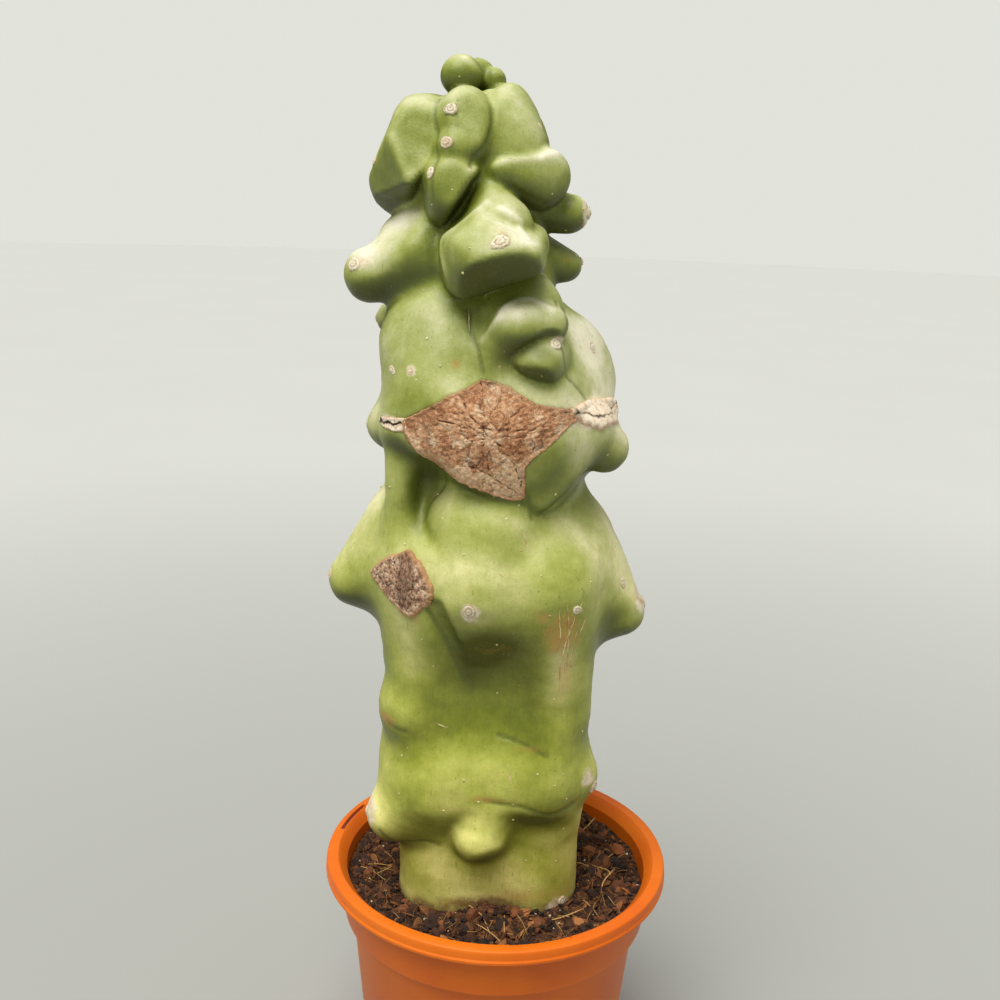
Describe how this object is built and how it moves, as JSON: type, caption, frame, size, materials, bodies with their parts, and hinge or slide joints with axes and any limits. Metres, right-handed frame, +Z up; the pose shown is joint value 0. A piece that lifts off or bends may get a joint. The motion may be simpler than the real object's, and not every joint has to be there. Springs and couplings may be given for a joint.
{
  "type": "potted totem pole cactus",
  "caption": "Spineless monstrose totem pole cactus, a knobbly green column with corky patches, growing in an orange plastic nursery pot of dark soil.",
  "frame": {"origin": "centre of the pot's foot, on the surface that the pot stands on", "axes": "+Z up the stem, -Y toward the side with the large corky patch"},
  "size_m": [0.17, 0.17, 0.5107],
  "materials": {
    "pot_plastic": "satin moulded polypropylene, orange",
    "potting_soil": "coarse dark peat, coir and bark mix, dull",
    "cactus_skin": "waxy satin skin, yellow-green with a pale bloom, brown corky patches"
  },
  "bodies": {
    "root": {"pot": "pot_plastic", "soil": "potting_soil", "cactus_stem": "cactus_skin"}
  },
  "joints": []
}
